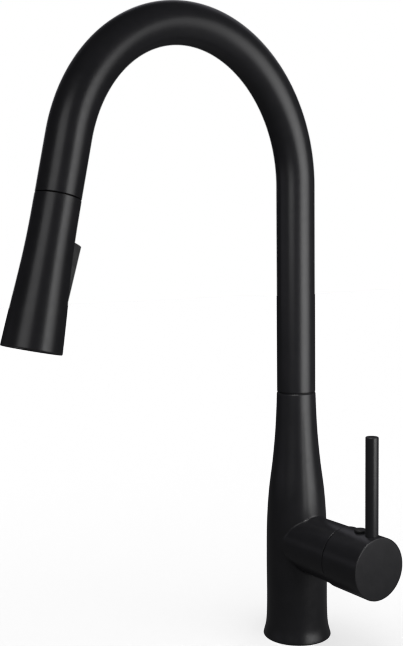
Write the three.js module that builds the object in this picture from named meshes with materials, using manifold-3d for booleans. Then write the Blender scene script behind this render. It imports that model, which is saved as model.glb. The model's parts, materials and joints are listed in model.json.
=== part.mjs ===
// Pull-down kitchen faucet with one side lever, as the separate pieces that it is assembled from.
// Millimetres. +Z is up and z = 0 is the top of the worktop. The column stands on the Z axis, the
// cartridge branch and the lever point along +X, and the spout points along -Y, turned by its rest turn.

import * as THREE from "three";
import { mergeVertices } from "three/addons/utils/BufferGeometryUtils.js";
import Module from "manifold-3d";

// ---- Driving dimensions -------------------------------------------------------------------------

const GAP = 0.3; // clearance between pieces that touch on the real faucet

// Column
const NECK_Z = 184; // top of the column, where the spout begins
const NECK_R = 14.2;
const FOOT_FLAT_R = 24.7; // flat underside of the foot, up to its rounded edge
// Radius of the column at rising heights, from the foot's rounded edge to the neck.
const COLUMN_OUTLINE = [
  [25.1, 0.8], [23.1, 9.5], [22.4, 25], [22.45, 58], [22.05, 87], [20.5, 110],
  [17.6, 133], [15.6, 154], [14.6, 172], [14.2, 183.4],
];

// Spout
const TUBE_R = 14;
const TUBE_WALL = 1.8;
const NECK_JOINT = 0.9; // height of the joint between column and spout
const BEND_Z = 336; // height at which the arch begins
const BEND_R = 102;
const BEND_TURN = 166.7; // degrees of arch
const DOWN_LEG = 37; // straight length after the arch
const REST_TURN = 9.8; // degrees that the spout stands turned towards the handle
const LEAN = 180 - BEND_TURN; // degrees that the spout's end leans from the vertical

// Spray head, by distance below the spout's end
const HEAD_LENGTH = 92.5;
const HEAD_WALL = 1.8;
const HEAD_OUTLINE = [
  [14.05, 0.6], [14.2, 20], [14.65, 35], [15.5, 50], [16.55, 65], [17.5, 80], [18.2, HEAD_LENGTH],
];

// Rocker button in the back of the spray head, about its pin
const ROCKER_PIN_Y = 10.6;
const ROCKER_PIN_DROP = 44.5;
const ROCKER_END_R = 19.4; // the button's upper end is round about its pin
const ROCKER_TOP_Y = 18.6; // outer face at that end
const ROCKER_FOOT_Y = 15.9; // and at the foot
const ROCKER_WIDTH = 13;
const ROCKER_CROWN_R = 40;
const ROCKER_FOOT_DROP = 62.3;

// Spray hose
const HOSE_R = 6;

// Cartridge branch and handle, by distance from the column's axis
const BRANCH_Z = 73; // height of the branch's axis
const BRANCH_R = 20.85;
const BRANCH_END = 53.7;
const CARTRIDGE_SEAT = 22;
const CARTRIDGE_BORE_R = 18.5;
const PIVOT = 50; // the handle tilts about this point
const HUB_R = 21.7;
const HUB_SKIRT_R = 21.15; // inside of the hub where it passes over the branch
const HUB_BACK = 54.8;
const HUB_FLOOR = 67; // inner end of the hub's hollow
const HUB_FRONT = 89.3;
const DOME_R = 19.8; // ball-shaped cover about the pivot
const SCREW_X = 70.6;
const LEVER_X = 82;
const LEVER_R = 4.35;
const LEVER_TOP_Z = 162.8;
const STEM_HALF = 3.5; // half the width of the square stem

// Under the worktop
const SHANK_R = 16.7; // fits a 35 mm hole
const SHANK_BORE_R = 15;
const SHANK_FOOT_Z = -56;
const CLAMP_Z = -30; // top of the rubber washer: room for a 30 mm worktop
const WASHER_R = 26;
const RUBBER_WASHER = 3; // thickness
const STEEL_WASHER = 2;
const NUT_FLATS = 44;
const NUT_HEIGHT = 10.4;

// Facets on a full turn
const WIDE = 32;
const ROUND = 20;
const SMALL = 12;
const ARCH_STEPS = 18;

const radians = THREE.MathUtils.degToRad;

// ---- Solids -------------------------------------------------------------------------------------

const wasm = await Module();
wasm.setup();

function signedVolume(positions, triangles) {
  const [a, b, c] = [new THREE.Vector3(), new THREE.Vector3(), new THREE.Vector3()];
  let volume = 0;
  for (let i = 0; i < triangles.length; i += 3) {
    a.fromArray(positions, 3 * triangles[i]);
    b.fromArray(positions, 3 * triangles[i + 1]);
    c.fromArray(positions, 3 * triangles[i + 2]);
    volume += a.dot(b.cross(c)) / 6;
  }
  return volume;
}

// A closed geometry as a solid whose faces point out.
function toSolid(geometry) {
  const bare = new THREE.BufferGeometry();
  bare.setAttribute("position", geometry.getAttribute("position"));
  bare.setIndex(geometry.index);
  const merged = mergeVertices(bare, 1e-4);
  const positions = merged.getAttribute("position").array;
  const index = merged.index.array;
  const triangles = [];
  for (let i = 0; i < index.length; i += 3) {
    const [a, b, c] = index.slice(i, i + 3);
    if (a !== b && b !== c && c !== a) triangles.push(a, b, c);
  }
  if (signedVolume(positions, triangles) < 0) triangles.reverse();
  const mesh = new wasm.Mesh({
    numProp: 3,
    vertProperties: Float32Array.from(positions),
    triVerts: Uint32Array.from(triangles),
  });
  return new wasm.Manifold(mesh);
}

function toGeometry(solid) {
  const mesh = solid.getMesh();
  const geometry = new THREE.BufferGeometry();
  geometry.setAttribute("position", new THREE.BufferAttribute(Float32Array.from(mesh.vertProperties), 3));
  geometry.setIndex(new THREE.BufferAttribute(Uint32Array.from(mesh.triVerts), 1));
  geometry.computeVertexNormals();
  return geometry;
}

function cut(base, ...tools) {
  return toGeometry(tools.reduce((solid, tool) => solid.subtract(toSolid(tool)), toSolid(base)));
}

function fuse(base, ...others) {
  return toGeometry(others.reduce((solid, other) => solid.add(toSolid(other)), toSolid(base)));
}

function common(first, second) {
  return toGeometry(toSolid(first).intersect(toSolid(second)));
}

// A profile of [radius, height] points turned about Z. It starts and ends on the axis, or closes.
function turned(profile, segments = ROUND) {
  const points = profile.map(([radius, height]) => new THREE.Vector2(radius, height));
  return new THREE.LatheGeometry(points, segments).rotateX(Math.PI / 2);
}

function ring(innerR, outerR, low, high, segments = ROUND) {
  return turned([[innerR, low], [outerR, low], [outerR, high], [innerR, high], [innerR, low]], segments);
}

function rod(radius, low, high, { x = 0, y = 0, segments = ROUND } = {}) {
  return new THREE.CylinderGeometry(radius, radius, high - low, segments)
    .rotateX(Math.PI / 2)
    .translate(x, y, (low + high) / 2);
}

function rodAlongX(radius, low, high, y, z, segments = SMALL) {
  return new THREE.CylinderGeometry(radius, radius, high - low, segments)
    .rotateZ(Math.PI / 2)
    .translate((low + high) / 2, y, z);
}

function rodAlongY(radius, low, high, x, z, segments = SMALL) {
  return new THREE.CylinderGeometry(radius, radius, high - low, segments).translate(x, (low + high) / 2, z);
}

function block([x0, x1], [y0, y1], [z0, z1]) {
  return new THREE.BoxGeometry(x1 - x0, y1 - y0, z1 - z0)
    .translate((x0 + x1) / 2, (y0 + y1) / 2, (z0 + z1) / 2);
}

function oRing(radius, thickness, height) {
  return new THREE.TorusGeometry(radius, thickness / 2, 5, 16).translate(0, 0, height);
}

// A hexagonal prism, with a round hole, between two heights.
function hexNut(acrossFlats, holeR, low, high) {
  const prism = rod(acrossFlats / Math.sqrt(3), low, high, { segments: 6 });
  return cut(prism, rod(holeR, low - 1, high + 1));
}

// A smooth outline of [radius, height] points through a few given ones.
function smooth(outline, count) {
  const curve = new THREE.SplineCurve(outline.map(([radius, height]) => new THREE.Vector2(radius, height)));
  return curve.getSpacedPoints(count).map((point) => [point.x, point.y]);
}

// ---- Materials ----------------------------------------------------------------------------------

const finish = (color, roughness, metalness) => () =>
  new THREE.MeshStandardMaterial({ color, roughness, metalness });
const matteBlack = finish(0x17181b, 0.5, 0.35);
const brass = finish(0xb28a4a, 0.4, 0.9);
const steel = finish(0xb9bbbd, 0.35, 0.95);
const rubber = finish(0x1b1b1c, 0.85, 0);
const blackPlastic = finish(0x1d1d1f, 0.6, 0);
const whitePlastic = finish(0xd8d6cf, 0.5, 0);
const ceramic = finish(0xcfc8bb, 0.25, 0);
const silicone = finish(0x4c4e50, 0.7, 0);
const magnet = finish(0x3a3a3c, 0.45, 0.6);
const braid = finish(0x8d9092, 0.6, 0.2);

function addPiece(group, name, geometry, material) {
  const mesh = new THREE.Mesh(toGeometry(toSolid(geometry)), material());
  mesh.name = name;
  group.add(mesh);
}

// ---- Column and its fixing ----------------------------------------------------------------------

const SHANK_SOCKET_Z = 28; // top of the shank's socket in the column
const HOSE_PASSAGE_R = 7;
const SWIVEL_BORE_R = 11.6;
const SWIVEL_STEP_Z = 135; // the spout's retaining ring catches under this step
const CHAMBER_R = 12.5;
const CHAMBER_FOOT_Z = 105;
const SEAL_RECESS = 2.1; // depth of the recess in the foot that holds the base seal
const PORT_R = 2.6;
const HOT_COLD_Y = 7.5;
const HOT_COLD_DROP = 5; // the hot and cold ports sit below the branch's axis
const OUTLET_RISE = 7; // and the outlet above it
const FEED_R = 3;
const FEED_CIRCLE_R = 11.3;
const FEED_ANGLE = 50; // degrees between the outlet's drilling and the two feeds'

// Drillings from the shank's socket to the three ports of the cartridge seat.
function waterways() {
  const feeds = [-1, 0, 1].map((side) => {
    const angle = radians(side * FEED_ANGLE);
    const [x, y] = [FEED_CIRCLE_R * Math.cos(angle), FEED_CIRCLE_R * Math.sin(angle)];
    const portY = side * HOT_COLD_Y;
    const portZ = side === 0 ? BRANCH_Z + OUTLET_RISE : BRANCH_Z - HOT_COLD_DROP;
    return [
      rod(FEED_R, SHANK_SOCKET_Z - 1, portZ + PORT_R, { x, y, segments: SMALL }),
      rodAlongX(PORT_R, x, CARTRIDGE_SEAT + 1, portY, portZ),
    ];
  });
  return feeds.flat();
}

function bodyShell() {
  const outline = smooth(COLUMN_OUTLINE, 12);
  const column = turned([[0, 0], [FOOT_FLAT_R, 0], ...outline, [NECK_R - 0.4, NECK_Z], [0, NECK_Z]], WIDE);
  const branch = rodAlongX(BRANCH_R, 0, BRANCH_END, 0, BRANCH_Z, WIDE);
  return cut(
    fuse(column, branch),
    rod(SHANK_R + GAP, -1, SHANK_SOCKET_Z),
    rod(FOOT_FLAT_R - 1.6, -1, SEAL_RECESS, { segments: WIDE }),
    rod(HOSE_PASSAGE_R, SHANK_SOCKET_Z - 1, SWIVEL_STEP_Z, { segments: SMALL }),
    rod(CHAMBER_R, CHAMBER_FOOT_Z, SWIVEL_STEP_Z),
    rod(SWIVEL_BORE_R, SWIVEL_STEP_Z - 1, NECK_Z + 1),
    rodAlongX(CARTRIDGE_BORE_R, CARTRIDGE_SEAT, BRANCH_END + 1, 0, BRANCH_Z, WIDE),
    ...waterways(),
  );
}

function fixing(group) {
  const holeR = SHANK_R + GAP;
  const steelZ = CLAMP_Z - RUBBER_WASHER - GAP;
  const nutZ = steelZ - STEEL_WASHER - GAP;
  addPiece(group, "base_seal", ring(18, FOOT_FLAT_R - 1.9, 0, SEAL_RECESS - GAP, WIDE), rubber);
  addPiece(group, "mounting_shank", ring(SHANK_BORE_R, SHANK_R, SHANK_FOOT_Z, SHANK_SOCKET_Z - GAP), brass);
  addPiece(group, "rubber_washer", ring(holeR, WASHER_R, CLAMP_Z - RUBBER_WASHER, CLAMP_Z), rubber);
  addPiece(group, "clamp_washer", ring(holeR, WASHER_R, steelZ - STEEL_WASHER, steelZ), steel);
  addPiece(group, "mounting_nut", hexNut(NUT_FLATS, holeR, nutZ - NUT_HEIGHT, nutZ), brass);
}

// ---- Spout swivel -------------------------------------------------------------------------------

const SPIGOT_R = 10.2;
const SPIGOT_BORE_R = 7.6;
const SPIGOT_FOOT_Z = 131;
const SPIGOT_TOP_Z = 214;
const GROOVE_R = 9.2;
const CLIP_GROOVE = [132.3, 134.1];
const SEAL_GROOVES = [[150, 152.4], [160, 162.4]];
const BUSH_BORE_R = SPIGOT_R + GAP;
const BUSH_R = SWIVEL_BORE_R - GAP;
const UPPER_BUSH_FOOT_Z = 172;
const LOWER_BUSH = [137, 146]; // heights of its two ends

// The upper bush has a thin flange between the column and the spout tube.
function upperBush() {
  const flangeR = 13.8;
  const [low, high] = [NECK_Z + 0.2, NECK_Z + 0.7];
  return turned([
    [BUSH_BORE_R, UPPER_BUSH_FOOT_Z], [BUSH_R, UPPER_BUSH_FOOT_Z], [BUSH_R, low], [flangeR, low],
    [flangeR, high], [BUSH_BORE_R, high], [BUSH_BORE_R, UPPER_BUSH_FOOT_Z],
  ]);
}

function swivelBushes(group) {
  addPiece(group, "upper_swivel_bush", upperBush(), blackPlastic);
  addPiece(group, "lower_swivel_bush", ring(BUSH_BORE_R, BUSH_R, ...LOWER_BUSH), whitePlastic);
}

function spoutSpigot() {
  const collarZ = NECK_Z + NECK_JOINT + 0.2;
  const grooves = [CLIP_GROOVE, ...SEAL_GROOVES].flatMap(([low, high]) => [
    [SPIGOT_R, low], [GROOVE_R, low], [GROOVE_R, high], [SPIGOT_R, high],
  ]);
  const collarR = TUBE_R - TUBE_WALL - GAP;
  return turned([
    [SPIGOT_BORE_R, SPIGOT_FOOT_Z], [SPIGOT_R, SPIGOT_FOOT_Z], ...grooves, [SPIGOT_R, collarZ],
    [collarR, collarZ], [collarR, SPIGOT_TOP_Z], [SPIGOT_BORE_R, SPIGOT_TOP_Z],
    [SPIGOT_BORE_R, SPIGOT_FOOT_Z],
  ]);
}

// An open spring ring that holds the spigot down.
function retainingRing() {
  const [low, high] = CLIP_GROOVE;
  const opening = radians(14);
  const shape = new THREE.Shape()
    .absarc(0, 0, CHAMBER_R - GAP, opening, 2 * Math.PI - opening, false)
    .absarc(0, 0, GROOVE_R + GAP, 2 * Math.PI - opening, opening, true);
  const depth = high - low - 2 * GAP;
  return new THREE.ExtrudeGeometry(shape, { depth, bevelEnabled: false, curveSegments: 20 })
    .translate(0, 0, low + GAP);
}

// ---- Spout --------------------------------------------------------------------------------------

// The spout's centreline in the YZ plane: up a straight leg, round the arch and down a short leg.
// It has one station at each end of a straight leg and the others evenly round the arch.
class SpoutLine extends THREE.Curve {
  constructor(footZ, downLeg, archSteps) {
    super();
    this.footZ = footZ;
    this.downLeg = downLeg;
    this.archSteps = archSteps;
    this.steps = archSteps + 2;
  }

  getUtoTmapping(u) {
    return u;
  }

  getPoint(t, target = new THREE.Vector3()) {
    const station = t * this.steps;
    const turn = radians(BEND_TURN) * THREE.MathUtils.clamp((station - 1) / this.archSteps, 0, 1);
    target.set(0, -BEND_R * (1 - Math.cos(turn)), BEND_Z + BEND_R * Math.sin(turn));
    if (station < 1) target.z -= (1 - station) * (BEND_Z - this.footZ);
    const past = Math.max(station - 1 - this.archSteps, 0) * this.downLeg;
    target.y -= past * Math.sin(turn);
    target.z += past * Math.cos(turn);
    return target;
  }
}

function alongSpout(shape, line, curveSegments) {
  return new THREE.ExtrudeGeometry(shape, { steps: line.steps, extrudePath: line, curveSegments });
}

function spoutTube() {
  const section = new THREE.Shape().absarc(0, 0, TUBE_R, 0, 2 * Math.PI);
  section.holes.push(new THREE.Path().absarc(0, 0, TUBE_R - TUBE_WALL, 0, 2 * Math.PI, true));
  return alongSpout(section, new SpoutLine(NECK_Z + NECK_JOINT, DOWN_LEG, ARCH_STEPS), 10);
}

const HOSE_FOOT_Z = -66;
const HOSE_TAIL_Z = -92; // foot of the fitting under the hose
const HOSE_BORE_R = 3.4;
const TAIL_SLEEVE_R = 7.2;
const TAIL_NUT_FLATS = 17;
const TAIL_NUT_TOP_Z = -78;
const FERRULE_TOP = 34; // the hose's ferrule begins this far up inside the spout's end

function sprayHose() {
  const section = new THREE.Shape().absarc(0, 0, HOSE_R, 0, 2 * Math.PI);
  return alongSpout(section, new SpoutLine(HOSE_FOOT_Z, DOWN_LEG - FERRULE_TOP - GAP, ARCH_STEPS), 5);
}

function hoseTailFitting() {
  const sleeve = ring(HOSE_R + GAP, TAIL_SLEEVE_R, TAIL_NUT_TOP_Z, HOSE_FOOT_Z + 8, SMALL);
  const neck = rod(TAIL_SLEEVE_R, TAIL_NUT_TOP_Z - 2, HOSE_FOOT_Z - GAP, { segments: SMALL });
  const bore = rod(HOSE_BORE_R, HOSE_TAIL_Z - 1, TAIL_NUT_TOP_Z - 1, { segments: SMALL });
  const nut = hexNut(TAIL_NUT_FLATS, HOSE_BORE_R, HOSE_TAIL_Z, TAIL_NUT_TOP_Z);
  return cut(fuse(sleeve, neck, nut), bore);
}

function spout(group) {
  addPiece(group, "spout_tube", spoutTube(), matteBlack);
  addPiece(group, "spout_spigot", spoutSpigot(), brass);
  SEAL_GROOVES.forEach(([low, high], i) => {
    addPiece(group, `spout_o_ring_${i + 1}`, oRing(10.5, 1.6, (low + high) / 2), rubber);
  });
  addPiece(group, "spout_retaining_ring", retainingRing(), steel);
  addPiece(group, "spray_hose", sprayHose(), braid);
  addPiece(group, "hose_tail_fitting", hoseTailFitting(), brass);
}

// ---- Docking of the spray head in the spout's end (heights above that end) ------------------------

const DOCK_R = TUBE_R - TUBE_WALL - GAP;

function dock(group) {
  addPiece(group, "dock_collar", ring(9.8, DOCK_R, 0.8, 15), blackPlastic);
  addPiece(group, "dock_magnet", ring(7.9, DOCK_R, 16.5, 22), magnet);
}

// The crimped sleeve at the hose's end, with the barbed stem that turns inside the swivel nut.
function hoseFerrule() {
  return turned([
    [3.2, 7], [6.9, 7], [6.9, 8.3], [4.5, 8.3], [4.5, 15.2], [7, 15.2], [7, FERRULE_TOP],
    [HOSE_R, FERRULE_TOP], [HOSE_R, 17], [3.2, 17], [3.2, 7],
  ]);
}

function hoseSwivelNut() {
  return turned([[8, 0.8], [9.4, 0.8], [9.4, 8], [8.2, 14.9], [4.8, 14.9], [4.8, 8.6], [8, 8.6], [8, 0.8]]);
}

// ---- Spray head (heights are negative below the spout's end) --------------------------------------

const WINDOW_HALF = ROCKER_WIDTH / 2 + 0.4;
const WINDOW_TOP = -(ROCKER_PIN_DROP - ROCKER_END_R) + 0.25;
const WINDOW_FOOT = -ROCKER_FOOT_DROP - GAP;
const INLET_R = 8.2; // hole in the shell's lid, for the swivel nut

function headShell() {
  const outer = smooth(HEAD_OUTLINE, 8).map(([radius, drop]) => [radius, -drop]);
  const inner = smooth(HEAD_OUTLINE, 4)
    .slice(1)
    .reverse()
    .map(([radius, drop]) => [radius - HEAD_WALL, -drop]);
  const lid = [[TUBE_R - HEAD_WALL, -2.6], [INLET_R, -2.6], [INLET_R, -0.6]];
  const shell = turned([...outer, ...inner, ...lid, outer[0]], WIDE);
  const window = block([-WINDOW_HALF, WINDOW_HALF], [8, 24], [WINDOW_FOOT, WINDOW_TOP]);
  return cut(shell, window);
}

const EAR_X = [4.9, 6.8];
const PIN_HOLE_R = 1.2;
const SPOOL_Y = 3;
const SPOOL_R = 3;
const WATERWAY_R = 2.2;

// The inner body that carries the inlet, the diverter's bore and the ears of the rocker's pin.
function headWaterway() {
  const core = turned([[0, 5], [7.7, 5], [7.7, -6], [11.8, -9], [11.8, -64], [0, -64]]);
  const earZ = [-ROCKER_PIN_DROP - 2.5, -ROCKER_PIN_DROP + 2.5];
  const ears = [-1, 1].map((side) => {
    const xs = EAR_X.map((x) => side * x).sort((a, b) => a - b);
    return block(xs, [7, ROCKER_PIN_Y + 1.3], earZ);
  });
  const pocket = block([-7.8, 7.8], [8.3, 14], [-70, -23.5]);
  const lugSlot = block([-2.8, 2.8], [SPOOL_Y, 9], [-ROCKER_PIN_DROP - 4, -ROCKER_PIN_DROP + 3.5]);
  return cut(
    fuse(cut(core, pocket), ...ears),
    lugSlot,
    rod(4.2, -12, 6, { segments: SMALL }),
    rod(WATERWAY_R, -36, -11, { segments: SMALL }),
    rod(SPOOL_R + GAP, -58.5, -34.5, { y: SPOOL_Y, segments: SMALL }),
    rod(WATERWAY_R, -65, -57, { y: SPOOL_Y, segments: SMALL }),
    rodAlongX(PIN_HOLE_R, -9, 9, ROCKER_PIN_Y, -ROCKER_PIN_DROP),
  );
}

function checkValve() {
  return turned([[1.4, -8], [3.9, -8], [3.9, 2.5], [2.9, 2.5], [2.9, -5], [1.4, -6], [1.4, -8]], SMALL);
}

const SPOOL_SEALS = [-38.6, -53.4];
const SPOOL_ENDS = [-55.5, -36.5];

function diverterSpool() {
  const grooveHalf = 1.3;
  const seals = SPOOL_SEALS.map((z) => ring(2.1, 4, z - 0.75, z + 0.75, SMALL));
  const lugGroove = ring(1.5, 4, -ROCKER_PIN_DROP - grooveHalf, -ROCKER_PIN_DROP + grooveHalf, SMALL);
  return cut(rod(SPOOL_R, ...SPOOL_ENDS, { segments: SMALL }), ...seals, lugGroove);
}

// The button's side view: outer face, round upper end and inner face, as [y, z] points.
function rockerSide() {
  const innerY = 12.5;
  const side = new THREE.Shape().moveTo(ROCKER_FOOT_Y, -ROCKER_FOOT_DROP);
  const steps = 4;
  for (let i = 0; i <= steps; i += 1) {
    const y = ROCKER_TOP_Y + ((innerY - ROCKER_TOP_Y) * i) / steps;
    side.lineTo(y, -ROCKER_PIN_DROP + Math.sqrt(ROCKER_END_R ** 2 - (y - ROCKER_PIN_Y) ** 2));
  }
  side.lineTo(innerY, -ROCKER_FOOT_DROP + 2).lineTo(13.6, -ROCKER_FOOT_DROP);
  return side;
}

// The button is crowned across, and carries a boss for its pin and a lug for the diverter's spool.
function rockerButton() {
  const half = ROCKER_WIDTH / 2;
  const depth = ROCKER_WIDTH;
  const plate = new THREE.ExtrudeGeometry(rockerSide(), { depth, bevelEnabled: false })
    .applyQuaternion(new THREE.Quaternion(0.5, 0.5, 0.5, 0.5))
    .translate(-half, 0, 0);
  const slope = Math.atan2(ROCKER_TOP_Y - ROCKER_FOOT_Y, ROCKER_FOOT_DROP - 26.8);
  const crown = rod(ROCKER_CROWN_R, -40, 40, { segments: 140 })
    .translate(0, -ROCKER_CROWN_R, 0)
    .rotateX(-slope)
    .translate(0, (ROCKER_TOP_Y + ROCKER_FOOT_Y) / 2, -ROCKER_PIN_DROP);
  const pinZ = -ROCKER_PIN_DROP;
  const bossHalf = EAR_X[0] - GAP;
  const boss = fuse(
    rodAlongX(2, -bossHalf, bossHalf, ROCKER_PIN_Y, pinZ),
    block([-bossHalf, bossHalf], [ROCKER_PIN_Y, 13], [pinZ - 2, pinZ + 2]),
  );
  const lug = block([-2.2, 2.2], [4.9, ROCKER_PIN_Y], [pinZ - 0.9, pinZ + 0.9]);
  return cut(fuse(common(plate, crown), boss, lug), rodAlongX(PIN_HOLE_R, -9, 9, ROCKER_PIN_Y, pinZ));
}

const NOZZLE_ROWS = [[10, 10], [13.4, 14]]; // radius of each row and its count

function nozzleSpots() {
  return NOZZLE_ROWS.flatMap(([radius, count]) =>
    Array.from({ length: count }, (_, i) => {
      const angle = (2 * Math.PI * i) / count;
      return { x: radius * Math.cos(angle), y: radius * Math.sin(angle), segments: 6 };
    }),
  );
}

function sprayChamber() {
  return turned([
    [4.5, -66], [14.2, -66], [15.3, -86], [13.9, -86], [12.9, -69], [8, -69], [8, -78], [6.8, -78],
    [6.8, -69], [4.5, -69], [4.5, -66],
  ]);
}

function nozzleMat() {
  const nozzles = nozzleSpots().map((spot) => rod(0.75, -92, -87, spot));
  return fuse(ring(8.3, 15.4, -87.6, -86.4), ...nozzles);
}

function sprayFace() {
  const holes = nozzleSpots().map((spot) => rod(1.25, -93, -87, spot));
  return cut(ring(6.8, 16, -91.4, -87.9), ...holes);
}

function aerator() {
  const body = ring(5, 6.5, -91.2, -79);
  return fuse(body, rod(5.6, -88.6, -87.6));
}

function sprayHead(group) {
  addPiece(group, "hose_swivel_nut", hoseSwivelNut(), brass);
  addPiece(group, "dock_keeper", ring(7.3, 8.2, 15.2, 16.2), steel);
  addPiece(group, "hose_washer", ring(3.4, 7.2, 5.3, 6.7), rubber);
  addPiece(group, "head_shell", headShell(), matteBlack);
  addPiece(group, "head_waterway", headWaterway(), blackPlastic);
  addPiece(group, "check_valve", checkValve(), whitePlastic);
  const pinHalf = EAR_X[1] - 0.2;
  addPiece(group, "rocker_pin", rodAlongX(1, -pinHalf, pinHalf, ROCKER_PIN_Y, -ROCKER_PIN_DROP), steel);
  addPiece(group, "spray_chamber", sprayChamber(), blackPlastic);
  addPiece(group, "nozzle_mat", nozzleMat(), silicone);
  addPiece(group, "spray_face", sprayFace(), blackPlastic);
  addPiece(group, "aerator", aerator(), whitePlastic);
  addPiece(group, "rocker_button", rockerButton(), blackPlastic);
}

function diverter(group) {
  const shifted = new THREE.Group();
  shifted.position.y = SPOOL_Y;
  addPiece(shifted, "diverter_spool", diverterSpool(), whitePlastic);
  SPOOL_SEALS.forEach((z, i) => addPiece(shifted, `spool_o_ring_${i + 1}`, oRing(2.75, 0.8, z), rubber));
  group.add(shifted);
}

// ---- Cartridge (along the branch: local Z runs out along it and local Y is up) --------------------

const HOUSING_R = 17.5;
const HOUSING_MOUTH_R = 15.5;
const HOUSING_NECK_R = 14.5;
const HOUSING_BACK = 23.9;
const HOUSING_FRONT = 55;
const HOUSING_FLOOR = 28.3;
const HOUSING_SHOULDER = 48.5;
const NUT_BORE_R = 14.9;
const NUT_R = 18.2;
const PORTS = [[-HOT_COLD_Y, -HOT_COLD_DROP], [HOT_COLD_Y, -HOT_COLD_DROP], [0, OUTLET_RISE]];

function cartridgeHousing() {
  const housing = turned([
    [0, HOUSING_BACK], [HOUSING_R, HOUSING_BACK], [HOUSING_R, HOUSING_SHOULDER],
    [HOUSING_NECK_R, HOUSING_SHOULDER], [HOUSING_NECK_R, HOUSING_FRONT], [12.4, HOUSING_FRONT],
    [12.4, 47], [HOUSING_MOUTH_R, 47], [HOUSING_MOUTH_R, HOUSING_FLOOR], [0, HOUSING_FLOOR],
  ]);
  return cut(housing, ...PORTS.map(([x, y]) => rod(3, 23, 29, { x, y, segments: SMALL })));
}

function fixedDisc() {
  const disc = rod(15.1, HOUSING_FLOOR + GAP, 32.7);
  return cut(disc, ...PORTS.map(([x, y]) => rod(2.7, 28, 33, { x, y, segments: SMALL })));
}

function cartridge(group) {
  addPiece(group, "cartridge_housing", cartridgeHousing(), whitePlastic);
  PORTS.forEach(([x, y], i) => {
    const seal = ring(3.1, 4.4, 22.2, 23.6, SMALL).translate(x, y, 0);
    addPiece(group, `cartridge_seal_${i + 1}`, seal, rubber);
  });
  addPiece(group, "fixed_disc", fixedDisc(), ceramic);
  const nutBack = HOUSING_SHOULDER + GAP;
  const nut = turned([
    [NUT_BORE_R, nutBack], [NUT_R, nutBack], [NUT_R, 53.2], [16.6, 53.2], [16.6, 55.4], [NUT_BORE_R, 55.4],
    [NUT_BORE_R, nutBack],
  ]);
  addPiece(group, "cartridge_nut", nut, brass);
}

// A shell that is part of a ball about the pivot, so that the tilting hub never uncovers the cartridge.
function domeRing() {
  const wall = 1.2;
  const [low, high] = [4.2, 10];
  const arc = (radius, from, to) =>
    Array.from({ length: 4 }, (_, i) => {
      const height = from + ((to - from) * i) / 3;
      return [Math.sqrt(radius ** 2 - height ** 2), PIVOT + height];
    });
  const outer = arc(DOME_R, low, high);
  const inner = arc(DOME_R - wall, high - 0.6, low);
  return turned([...outer, ...inner, outer[0]], WIDE);
}

// ---- Turret, discs and handle ---------------------------------------------------------------------

const PIVOT_HOLE_R = 1.7;
const DISC_R = 10.6;
const DISC_OFFSET = -2; // the moving disc and its carrier sit this far below the branch's axis
const SCREW_HEAD_Y = 12.5;
const LEVER_SOCKET_Y = 9.5;

// The turret turns in the housing; the stem tilts in its slot about the pivot pin.
function turret() {
  const body = turned([[0, 41.7], [15.2, 41.7], [15.2, 46.7], [12.1, 46.7], [12.1, 57.5], [0, 57.5]]);
  const slotOutline = new THREE.Shape([
    new THREE.Vector2(-9, -4.3), new THREE.Vector2(-9, 8.4), new THREE.Vector2(0, 4.9),
    new THREE.Vector2(8.5, 4.2), new THREE.Vector2(8.5, -8.2), new THREE.Vector2(0, -4.9),
  ]);
  const width = 2 * STEM_HALF + 2 * GAP;
  const slot = new THREE.ExtrudeGeometry(slotOutline, { depth: width, bevelEnabled: false })
    .rotateY(-Math.PI / 2)
    .translate(width / 2, 0, PIVOT);
  return cut(body, slot, rodAlongX(PIVOT_HOLE_R, -16, 16, 0, PIVOT));
}

const BALL_Z = 40;

function stem() {
  const shaft = block([-STEM_HALF, STEM_HALF], [-STEM_HALF, STEM_HALF], [45, 80]);
  const neck = rod(2.1, BALL_Z, 46, { segments: SMALL });
  const ball = new THREE.SphereGeometry(2.8, 10, 6).translate(0, 0, BALL_Z);
  return cut(fuse(shaft, neck, ball), rodAlongX(PIVOT_HOLE_R, -6, 6, 0, PIVOT));
}

function movingDisc() {
  const mixing = new THREE.CylinderGeometry(4.6, 4.6, 2.4, SMALL).rotateX(Math.PI / 2).scale(1.5, 1, 1);
  return cut(rod(DISC_R, 33, 36.5, { y: DISC_OFFSET }), mixing.translate(0, 0, 33.4));
}

function discCarrier() {
  return cut(rod(DISC_R, 36.8, 41.4, { y: DISC_OFFSET }), rod(3.1, 37, 42, { segments: SMALL }));
}

// Side hub: a skirt that passes over the branch, a solid front, and sockets for stem, screw and lever.
function hub() {
  const edge = 0.6;
  const outside = turned([
    [0, HUB_BACK], [HUB_R - 0.3, HUB_BACK], [HUB_R, HUB_BACK + 0.3], [HUB_R, HUB_FRONT - edge],
    [HUB_R - edge, HUB_FRONT], [0, HUB_FRONT],
  ], WIDE);
  const socketHalf = STEM_HALF + GAP;
  return cut(
    outside,
    rod(HUB_SKIRT_R, HUB_BACK - 1, HUB_FLOOR, { segments: WIDE }),
    block([-socketHalf, socketHalf], [-socketHalf, socketHalf], [HUB_FLOOR - 1, 80.3]),
    rodAlongY(2.8, 0, HUB_R + 1, 0, SCREW_X),
    rodAlongY(3.5, 15.4, HUB_R + 1, 0, SCREW_X),
    rodAlongY(LEVER_R + GAP, LEVER_SOCKET_Y, HUB_R + 1, 0, LEVER_X, ROUND),
  );
}

// The cap over the set screw: its stalk sits in the hub and its low head stands on it.
function indexPlug() {
  const stalkR = 3.2;
  const headR = 4.3;
  const [low, seat, top] = [15.7, HUB_R + GAP, HUB_R + 2];
  return turned([
    [0, low], [stalkR, low], [stalkR, seat], [headR, seat], [headR, top - 0.6], [3.5, top], [0, top],
  ]).rotateX(-Math.PI / 2).translate(0, 0, SCREW_X);
}

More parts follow.
